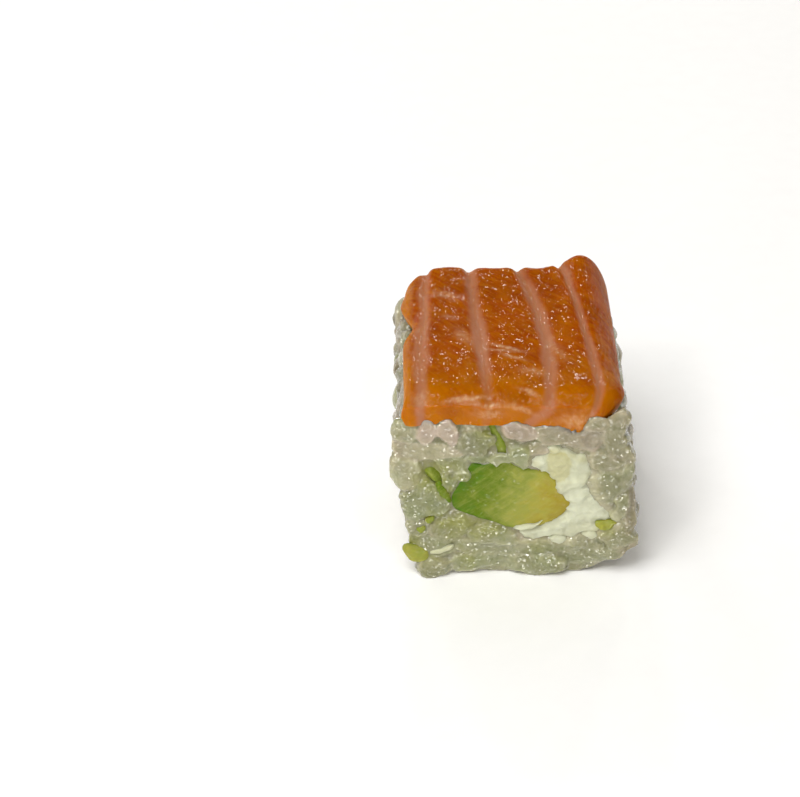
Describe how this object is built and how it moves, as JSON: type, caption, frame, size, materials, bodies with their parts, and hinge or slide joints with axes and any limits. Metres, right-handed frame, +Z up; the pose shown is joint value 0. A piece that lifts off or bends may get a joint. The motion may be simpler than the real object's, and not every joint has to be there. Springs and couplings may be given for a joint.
{
  "type": "maki sushi roll piece",
  "caption": "Cut piece of an inside-out maki roll: rice round avocado and cream cheese, topped with a slice of raw salmon.",
  "frame": {"origin": "middle of the footprint, on the surface that the piece stands on", "axes": "+Z up, towards the salmon; Y along the roll's axis, with the cut face that shows at -Y; +X towards the cream cheese"},
  "size_m": [0.038, 0.0348, 0.0367],
  "materials": {
    "rice": "moist, translucent cooked rice",
    "salmon": "wet raw salmon with pale seams of fat",
    "avocado": "ripe avocado flesh, green at the rim and yellow inside",
    "cream_cheese": "soft white cream cheese"
  },
  "bodies": {
    "root": {"rice": "rice", "salmon": "salmon", "avocado": "avocado", "avocado_sliver": "avocado", "cream_cheese": "cream_cheese"}
  },
  "joints": []
}
